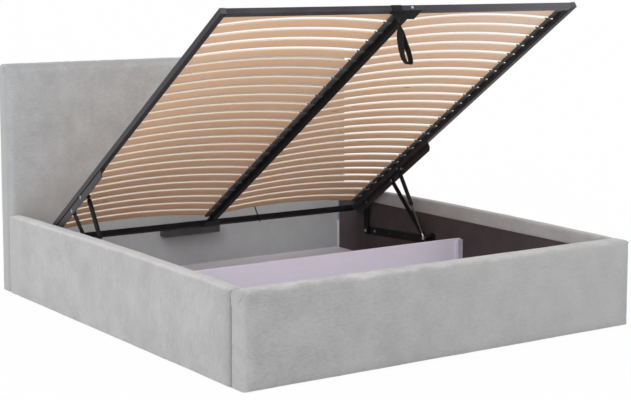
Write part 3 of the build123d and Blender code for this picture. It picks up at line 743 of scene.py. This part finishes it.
# %% Side rails
wrap_line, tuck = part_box("side_lining_right")[1].z, 0.0075
for side, way in sides[::-1]:
    padded_panel(f"rail_cloth_{side}", f"side_rail_cover_{side}", chenille_upright, 0.017, 0.0022,
                 [(0, way), (2, 1)], tuck_side=(0, -way), tuck_z=wrap_line, tuck=tuck, crown=0.008)

# %% Foot panel
foot_cloth = padded_panel("foot_cloth", "foot_panel_cover", chenille_across, 0.0185, 0.0026,
                          [(1, -1), (2, 1)], tuck_side=(1, 1), tuck_z=wrap_line, tuck=tuck,
                          soft_corner=0.027)

# %% Headboard
headboard_cloth = padded_panel("headboard_cloth", "headboard_cover", chenille_headboard, 0.020, 0.0030,
                               [(1, -1), (2, 1)], under=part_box("headboard_back_cloth"))

# %% [markdown]
# ## The model's hard pieces
# Tubes, plates and links come from the engineering model as they are. Real edges are never sharp,
# so each piece gets modifiers that round its edges and shade its round parts smoothly. Modifiers
# leave the model's own mesh alone.


# %% A modifier that shades round parts smoothly
sharp_above, rounded_above = 38, 40


def smooth_rounds():
    """Geometry nodes that shade a mesh smoothly except across sharp edges."""
    group = bpy.data.node_groups.new("smooth_rounds", "GeometryNodeTree")
    group.interface.new_socket("Mesh", in_out="INPUT", socket_type="NodeSocketGeometry")
    group.interface.new_socket("Mesh", in_out="OUTPUT", socket_type="NodeSocketGeometry")
    start = group.nodes.new("NodeGroupInput")
    end = group.nodes.new("NodeGroupOutput")
    angle = group.nodes.new("GeometryNodeInputMeshEdgeAngle")
    sharp = group.nodes.new("FunctionNodeCompare")
    sharp.inputs[1].default_value = math.radians(sharp_above)
    faces = group.nodes.new("GeometryNodeSetShadeSmooth")
    edges = group.nodes.new("GeometryNodeSetShadeSmooth")
    edges.domain = "EDGE"
    edges.inputs["Shade Smooth"].default_value = False
    group.links.new(start.outputs[0], faces.inputs["Geometry"])
    group.links.new(faces.outputs[0], edges.inputs["Geometry"])
    group.links.new(angle.outputs[0], sharp.inputs[0])
    group.links.new(sharp.outputs[0], edges.inputs["Selection"])
    group.links.new(edges.outputs[0], end.inputs[0])
    return group


shade_rounds = smooth_rounds()
print("edges of more than", sharp_above, "degrees stay sharp")


def dress(nodes, finish, edge=0.0, segments=2):
    """Gives the model's pieces a finish, and rounds their edges where edge isn't 0."""
    for name in nodes:
        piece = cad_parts[name]
        piece.data.materials.clear()
        piece.data.materials.append(finish)
        weld = piece.modifiers.new("weld", "WELD")
        weld.merge_threshold = 0.00002
        if edge:
            bevel = piece.modifiers.new("edges", "BEVEL")
            bevel.width, bevel.segments, bevel.limit_method = edge, segments, "ANGLE"
            bevel.angle_limit = math.radians(rounded_above)
        piece.modifiers.new("rounds", "NODES").node_group = shade_rounds
        if edge:
            piece.modifiers.new("flats", "WEIGHTED_NORMAL").keep_sharp = True
    print("dressed", len(nodes), "pieces in", finish.name)


# %% Boards, linings and small parts
dress(both("side_lining") + ["foot_lining"], lining_felt, 0.001)
dress([f"floor_panel_{end}_{side}" for end in ("foot", "head") for side in ("left", "right")],
      floor_foil, 0.0008)
dress(["divider_board"], divider_foil, 0.0012)
dress(["divider_cleats"], cleat_foil, 0.0010)
dress(["corner_trims"], trim_foil, 0.0010)
dress(both("side_rail_core") + ["foot_panel_core", "headboard_core"], chipboard)
dress(["floor_battens"], pine, 0.0015)
dress(["glides"], glide_nylon, 0.001)
dress(["tube_plugs"], cap_plastic, 0.0005)

# %% Steel
dress(both("lift_side_tube"), tube_black, 0.0026, 3)
dress(["lift_foot_tube"], foot_tube_black, 0.0026, 3)
dress(["lift_head_tube", "lift_centre_tube"], link_black, 0.0026, 3)
dress(both("lift_angle"), angle_black, 0.0014)
dress(["centre_end_plates"], link_black, 0.0014)
dress(both("base_bracket", "rear_link", "front_link"), link_black, 0.0010)
dress(["rest_shelf"], shelf_grey, 0.0012)
dress(["corner_brackets"], zinc, 0.0008)
dress(["corner_bolts", "foot_bolt"], zinc, 0.0006)
dress(both("lift_pins"), pin_steel, 0.0006)
dress(["base_bolts"] + both("base_pins"), bolt_row, 0.0006)
dress(both("strut_cylinder"), link_black, 0.0005)
dress(both("strut_rod"), nitrided_rod, 0.0004)
dress(both("strut_socket"), bright_steel, 0.0004)

# %% [markdown]
# ## Places on the raised base
# The base is tilted, so its pieces are easier to build level and then turned. `on_base` takes a
# place across the bed, along the base from its head end, and above the tops of its tubes.

# %% Turn a level place into a place on the raised base
tilt = math.radians(33.7)
base_head = (0.8365, 0.277)
base_length, tube, tube_inside = 1990, 25, 865
foot_middle = base_length - tube / 2


def on_base(across, along, above):
    """A place on the raised base, in metres, from millimetres on the level one."""
    y = base_head[0] + (-along * math.cos(tilt) + above * math.sin(tilt)) / 1000
    z = base_head[1] + (along * math.sin(tilt) + above * math.cos(tilt)) / 1000
    return Vector((across / 1000, y, z))


print("foot end of the base", [round(v, 3) for v in on_base(0, base_length, 0)])

# %% [markdown]
# ## Slats
# The base has two fields of slats. Each slat is pressed in a bow and its ends sit in caps. It is
# built as one rounded section that is carried along an arc, with points for the numbers that the
# beech finish reads.

# %% Sizes of the slats
slat_places = [87 + 75 * i for i in range(25)]
slat_width, slat_thickness, slat_camber, slat_rise = 53, 8, 28, 5
slat_from, slat_to = 6, 864
chord = slat_to - slat_from
bow_radius = (chord ** 2 / 4 + slat_camber ** 2) / (2 * slat_camber)
bow_turn = math.asin(chord / 2 / bow_radius)
bow_centre = ((slat_from + slat_to) / 2, slat_rise + slat_camber - bow_radius)
print("bow radius", round(bow_radius), "mm")


# %% A slat's section and its sweep
def slat_section():
    """Places round a slat's section: across its width, through it, and whether on an edge."""
    half, corner = slat_width / 2, 2.2
    section = []
    for sign_w, sign_t, start in ((1, 1, 0), (-1, 1, 90), (-1, -1, 180), (1, -1, 270)):
        for step in range(4):
            angle = math.radians(start + step * 30)
            w = sign_w * (half - corner) + corner * math.cos(angle)
            t = sign_t * (slat_thickness / 2 - corner) + corner * math.sin(angle)
            section.append((w, t + slat_thickness / 2, abs(math.cos(angle)) > 0.8))
    return section


def field_of_slats(side, way):
    """All slats of one side of the base, as one mesh of separate slats."""
    section, count = slat_section(), 32
    slats, through, edge = [], [], []
    for place in slat_places:
        points = []
        for i in range(count + 1):
            turn = bow_turn * (2 * i / count - 1)
            for w, t, on_edge in section:
                x = bow_centre[0] + (bow_radius + t) * math.sin(turn)
                up = bow_centre[1] + (bow_radius + t) * math.cos(turn)
                points.append(on_base(way * x, place + w, up))
                through.append(t / slat_thickness)
                edge.append(float(on_edge))
        # the right field mirrors the left one, so there each face runs the other way round
        slats.append((points, [face[::-way] for face in skin(count + 1, len(section))]))
    field = make_piece(f"beech_slats_{side}", (*join(slats), {"through": through, "edge": edge}),
                       beech, "lift_frame", f"slats_{side}")
    field.modifiers.new("rounds", "NODES").node_group = shade_rounds


for side, way in sides:
    field_of_slats(side, way)


# %% [markdown]
# ## Caps of the slats
# Each slat ends in a moulded cap that clips on the tube. Along the middle one cap holds two slats.
# A cap is a rounded block with a lip round its mouth and ribs on its back, and all caps of a row
# are one mesh. The sizes are millimetres on the level base.

# %% Rows of caps
def no_change(point, normal):
    """The shape of a block that stays as it is."""
    return point


def spread(place, half):
    """A range of half on both sides of a place."""
    return place - half, place + half


def block_on_base(across, along, above, radius, shape=no_change, spacing=60):
    """Points and faces of a rounded block on the raised base, from ranges in millimetres."""
    low = Vector((across[0], along[0], above[0]))
    high = Vector((across[1], along[1], above[1]))
    points, faces = rounded_shell(low, high, radius, [spacing, 60, 60], shape, 2)
    # a level place runs the other way along, so its faces are turned over
    return [on_base(*point) for point in points], [face[::-1] for face in faces]


def side_cap(place, way):
    """A cap at a side tube: body, lip and two ribs."""
    def toe(point, normal):
        """The cap thins toward the outside of the tube."""
        out = max(0.0, abs(point.x) - 862)
        return Vector((point.x, point.y, point.z * (1 - 0.76 * out / 22)))

    parts = [block_on_base(mirrored(way, 848, 884), spread(place, 28.5), (0.2, 16.8), 2.2, toe, 7),
             block_on_base(mirrored(way, 842, 850), spread(place, 30), (0.2, 18), 2.4)]
    for along in spread(place, 14):
        parts.append(block_on_base(mirrored(way, 853, 880), spread(along, 1.5), (13, 17.8), 1.2, toe, 7))
    return join(parts)


def middle_cap(place):
    """A double cap on the middle tube: saddle, two lips and a rib."""
    parts = [block_on_base((-33, 33), spread(place, 28.5), (0.2, 16.8), 2.4)]
    for way in (-1, 1):
        parts.append(block_on_base(mirrored(way, 31, 39), spread(place, 30), (0.2, 18), 2.4))
    parts.append(block_on_base((-20, 20), spread(place, 1.5), (13, 17.8), 1.2))
    return join(parts)


for side, way in sides:
    make_piece(f"side_caps_{side}", join([side_cap(place, way) for place in slat_places]),
               cap_plastic, "lift_frame", f"slat_caps_{side}")
make_piece("middle_caps", join([middle_cap(place) for place in slat_places]),
           cap_plastic, "lift_frame", "slat_caps_centre")

# %% [markdown]
# ## Sweeping a flat strip
# The strap is a flat strip that turns in space, so a plain curve with a bevel would not know which
# way its width lies. Here each station of the strip has its own middle, its own direction across,
# and its own width, and the strip is skinned between them.


# %% Smooth stations and a strip
def smooth_path(rows, per_span):
    """Rows of numbers joined by an even curve through them all."""
    found = []
    for i in range(len(rows) - 1):
        before, start = rows[max(i - 1, 0)], rows[i]
        end, after = rows[i + 1], rows[min(i + 2, len(rows) - 1)]
        for step in range(per_span):
            t = step / per_span
            found.append([0.5 * (2 * s + (e - b) * t + (2 * b - 5 * s + 4 * e - a) * t * t
                                 + (3 * s - b - 3 * e + a) * t ** 3)
                          for b, s, e, a in zip(before, start, end, after)])
    return found + [list(rows[-1])]


# the outline of a strip with soft edges, in shares of half its width and half its thickness
outline = [(-1, 0.35), (-0.96, 1), (-0.5, 1), (0, 1), (0.5, 1), (0.96, 1), (1, 0.35),
           (1, -0.35), (0.96, -1), (0.5, -1), (0, -1), (-0.5, -1), (-0.96, -1), (-1, -0.35)]


def strip(rows, thickness, closed=False):
    """Skins a strip. A row is middle x, y, z, across x, y, z and width, in metres."""
    points, across_shade, along_shade, run = [], [], [], 0.0
    count = len(rows)
    for i, row in enumerate(rows):
        middle, across = Vector(row[0:3]), Vector(row[3:6]).normalized()
        following = Vector(rows[(i + 1) % count if closed else min(i + 1, count - 1)][0:3])
        leading = Vector(rows[i - 1 if i or closed else 0][0:3])
        ahead = (following - leading).normalized()
        outward = ahead.cross(across).normalized()
        if i:
            run += (middle - Vector(rows[i - 1][0:3])).length
        half, thin = row[6] / 2, thickness / 2
        for w, t in outline:
            points.append(middle + across * half * w + outward * thin * t)
            across_shade.append((w + 1) / 2)
            along_shade.append(run)
    faces = skin(count, len(outline), closed)
    return points, faces, {"across": across_shade, "along": along_shade}


# %% [markdown]
# ## The pull strap
# A band of webbing is sewn round the foot tube. A second length is folded to a narrow twisted neck
# under it and opens into a long loop for the hand. The band is a closed strip round the tube, and
# the loop goes down one side and up the other while its width turns from across the bed to along it.

# %% Band round the foot tube
band_rows = []
band_x, band_width, cloth = -76, 50, 2.3
for i in range(40):
    turn = math.tau * i / 40
    reach = tube / 2 + cloth / 2 + 0.2
    u, v = math.cos(turn), math.sin(turn)
    squared = reach / max(abs(u), abs(v))
    corner = min(squared, reach * 1.27)
    along, above = foot_middle + corner * u, -tube / 2 + corner * v
    middle = on_base(band_x + 2.5 * v, along, above)
    across = on_base(band_x + 100 + 2.5 * v, along, above) - on_base(band_x, along, above)
    band_rows.append([*middle, *across, band_width / 1000])
make_piece("webbing_band", strip(band_rows, cloth / 1000, closed=True),
           webbing, "lift_frame", "strap_band")

# %% Loop for the hand
hang_y, hang_z = on_base(0, foot_middle, -27.5)[1:]
# across, drop and width in millimetres, two parts of the way across, and half the loop's opening
half_loop = [
    (-76, 0, 44, 1.0, 0.0, 1.3), (-72, -14, 40, 1.0, 0.10, 1.5), (-64, -36, 28, 0.8, 0.7, 1.7),
    (-54, -60, 25, 0.1, 1.0, 2.0), (-50, -80, 31, -0.35, 1.0, 3.2), (-42, -114, 34, -0.35, 1.0, 8),
    (-30, -150, 34, -0.10, 1.0, 15.5), (-19, -182, 33, 0.0, 1.0, 17.0), (-10, -202, 33, 0.0, 1.0, 10),
]
down, up = [], []
for x, drop, width, across_x, across_y, spread in half_loop:
    lean = -5 * min(1.0, max(0.0, -drop / 60))
    z = hang_z + drop / 1000
    down.append([(x + lean - spread) / 1000, hang_y, z, across_x, across_y, 0.0, width / 1000])
    up.append([(x + lean + spread) / 1000, hang_y, z, across_x, across_y, 0.0, width / 1000])
bottom = [[-0.0116, hang_y, hang_z - 0.2073, 0.0, 1.0, 0.0, 0.034]]
rows = smooth_path(down + bottom + up[::-1], 8)
make_piece("webbing_loop", strip(rows, 0.0021), webbing, "pull_strap", "pull_strap")

# %% Stitches that hold the loop to the band
stitch, every = 3.3, 4.7
stitches = []
for along in (1970, 1984):
    for i in range(9):
        start = -97 + every * i
        stitches.append(block_on_base((start, start + stitch), (along, along + 1), (-28, -27.2), 0.25))
make_piece("band_stitches", join(stitches), strap_thread, "lift_frame")

# %% [markdown]
# ## Folds at the corners
# At an upper corner the cloth has nowhere to go, so the upholsterer folds it over on itself and
# pulls the fold down the end of the panel. The fold is a narrow strip, laid on the cloth of the
# panel from its corner down and back.


# %% Folds
def fold_rows(panel, start, end, width):
    """Rows of a strip from start to end, laid on a panel's cloth."""
    mesh = panel.data
    cloth = BVHTree.FromPolygons([point.co for point in mesh.vertices],
                                 [tuple(face.vertices) for face in mesh.polygons])
    laid, count = [], 12
    for i in range(count + 1):
        share = i / count
        place = Vector(start).lerp(Vector(end), share)
        place.y += 0.0030 * math.sin(math.pi * share)
        spot, normal = cloth.find_nearest(place)[:2]
        laid.append((spot + normal * 0.0007, normal, math.sin(math.pi * (0.12 + 0.80 * share))))
    rows = []
    for i, (spot, normal, broad) in enumerate(laid):
        ahead = laid[min(i + 1, count)][0] - laid[max(i - 1, 0)][0]
        rows.append([*spot, *normal.cross(ahead).normalized(), width * broad])
    return rows


for end, panel, node, finish in (
        ("foot", foot_cloth, "foot_panel_cover", chenille_across),
        ("headboard", headboard_cloth, "headboard_cover", chenille_headboard)):
    low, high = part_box(node)
    folds, thickness = [], 0.0026
    for x, width in ((low.x, 0.0090), (high.x, 0.0050)):
        corner, tail = (x, low.y + 0.004, high.z - 0.004), (x, low.y + 0.030, high.z - 0.040)
        folds.append(strip(fold_rows(panel, corner, tail, width), thickness)[:2])
    make_piece(f"{end}_folds", join(folds), finish, "bed")

# %% [markdown]
# ## Welds
# The tubes are welded to each other at the four corners, and the lift angles are held under the
# side tubes by short welds. A weld is a rod of metal that set in ripples, one for each time the
# welder's hand moved on.


# %% Beads of weld
def ringed(centres, ahead, radii, around=8):
    """A rod through the centres, with a radius of its own at each."""
    beside = ahead.orthogonal().normalized()
    above = ahead.cross(beside).normalized()
    points = []
    for centre, radius in zip(centres, radii):
        for j in range(around):
            turn = math.tau * j / around
            points.append(centre + (beside * math.cos(turn) + above * math.sin(turn)) * radius)
    return points, skin(len(centres), around)


def weld_bead(start, end, radius):
    """A rippled bead between two places on the raised base, in millimetres."""
    first, last = on_base(*start), on_base(*end)
    count = max(8, round((last - first).length / 0.0012))
    centres, radii = [], []
    for i in range(count + 1):
        share = i / count
        ripple = 0.80 + 0.20 * abs(math.sin(i * math.pi / 3))
        centres.append(first.lerp(last, share))
        radii.append(radius / 1000 * ripple * min(1.0, 0.4 + 8 * min(share, 1 - share)))
    return ringed(centres, (last - first).normalized(), radii)


beads = []
for way in (-1, 1):
    side = way * tube_inside
    for near, far in ((1.5, 23.5), (1966.5, 1988.5)):
        for above in (-24.8, -0.2):
            beads.append(weld_bead((side, near, above), (side, far, above), 1.8))
    for along in (25.2, 1964.8):
        beads.append(weld_bead((side, along, -23), (side, along, -2), 1.8))
    for along in (200, 300, 560, 670):
        beads.append(weld_bead((side, along, -25.4), (side, along + 28, -25.4), 1.3))
make_piece("weld_beads", join(beads), tube_black, "lift_frame")

# %% Painted shade: dull black strips in the gaps of the angles
gap_shade_strips = [block_on_base(mirrored(way, 889.2, 890.3), (22, 748), (-29.2, -24.2), 0.25) for way in (-1, 1)]
make_piece("angle_gaps", join(gap_shade_strips), gap_dust, "lift_frame")

# %% [markdown]
# ## Rings of the gas struts
# A strut's cylinder is closed round its seal by rolling grooves into its wall, close to where the
# rod comes out. The grooves are seen as two raised rings.

# %% Rings
strut_low, strut_high = Vector((0, 0.1825, 0.205)), on_base(0, 505, -36)
strut_way = (strut_high - strut_low).normalized()
mouth = (strut_high - strut_low).length - 0.205
steps = [(-1.4, 9.7), (-1.0, 10.35), (-0.4, 10.75), (0.4, 10.75), (1.0, 10.35), (1.4, 9.7)]
for side, way in sides:
    rings = []
    for reach in (0.0045, 0.0120):
        middle = strut_low + strut_way * (mouth + reach) + Vector((way * 0.853, 0, 0))
        rings.append(ringed([middle + strut_way * step / 1000 for step, _ in steps], strut_way,
                            [radius / 1000 for _, radius in steps], 32))
    make_piece(f"strut_rings_{side}", join(rings), link_black, f"strut_cylinder_{side}")

# %% [markdown]
# ## The tie
# A thin black tie hangs from the lowest slat. It is the tail of a cable tie: a narrow strip of
# plastic that leans a little to the side. In the model it is a bare strip, and a modifier lets its
# faces out by about a millimetre, which is what the ridges on a real tie add.

# %% Tie
dress(["slat_tie"], link_black, 0.0003)
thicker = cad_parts["slat_tie"].modifiers.new("thicker", "DISPLACE")
thicker.strength, thicker.mid_level = 0.0012, 0.0

# %% [markdown]
# ## The back of the headboard
# Behind, the chenille turns onto the back and a spun black cloth covers the opening. It is pulled
# tight by hand and stapled, so it dips a little between the uprights and shows a staple every few
# centimetres.

# %% Spun cloth
back_low, back_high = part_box("headboard_back_cloth")
columns, rises = 90, 50
points, faces = [], []
for j in range(rises + 1):
    for i in range(columns + 1):
        x = back_low.x + (back_high.x - back_low.x) * i / columns
        z = back_low.z + (back_high.z - back_low.z) * j / rises
        dip = min(1.0, min(i, columns - i, j, rises - j) / 4)
        y = back_high.y - 0.0002 - 0.0018 * dip * (0.6 + 0.4 * noise.noise(Vector((x * 5, 0, z * 5))))
        points.append((x, y, z))
row = columns + 1
for j in range(rises):
    for i in range(columns):
        a = j * row + i
        faces.append([a, a + row, a + row + 1, a + 1])
back = make_piece("back_spun_cloth", (points, faces), spun_cloth, "bed",
                  "headboard_back_cloth")

# %% Staples
staple, from_edge, staple_every = (0.0055, 0.0006), 0.007, 0.062
staples = []
for edge_from, edge_to, level, upright in (
        (back_low.x, back_high.x, back_low.z + from_edge, False),
        (back_low.x, back_high.x, back_high.z - from_edge, False),
        (back_low.z, back_high.z, back_low.x + from_edge, True),
        (back_low.z, back_high.z, back_high.x - from_edge, True)):
    count = round((edge_to - edge_from) / staple_every)
    for i in range(count):
        at = edge_from + (edge_to - edge_from) * (i + 0.5) / count + 0.004 * math.sin(i * 2.4)
        x, z = (level, at) if upright else (at, level)
        wide, tall = staple[::-1] if upright else staple
        staples.append(rounded_shell(Vector((x - wide, back_high.y - 0.0015, z - tall)),
                                     Vector((x + wide, back_high.y + 0.0006, z + tall)),
                                     0.0003, [1, 1, 1], no_change, 1))
make_piece("cloth_staples", join(staples), zinc, "bed")

# %% [markdown]
# ## Finishing
# The last cell sets the view transform to Standard and hands the scene over.

# %% Finish
bpy.context.scene.view_settings.view_transform = "Standard"
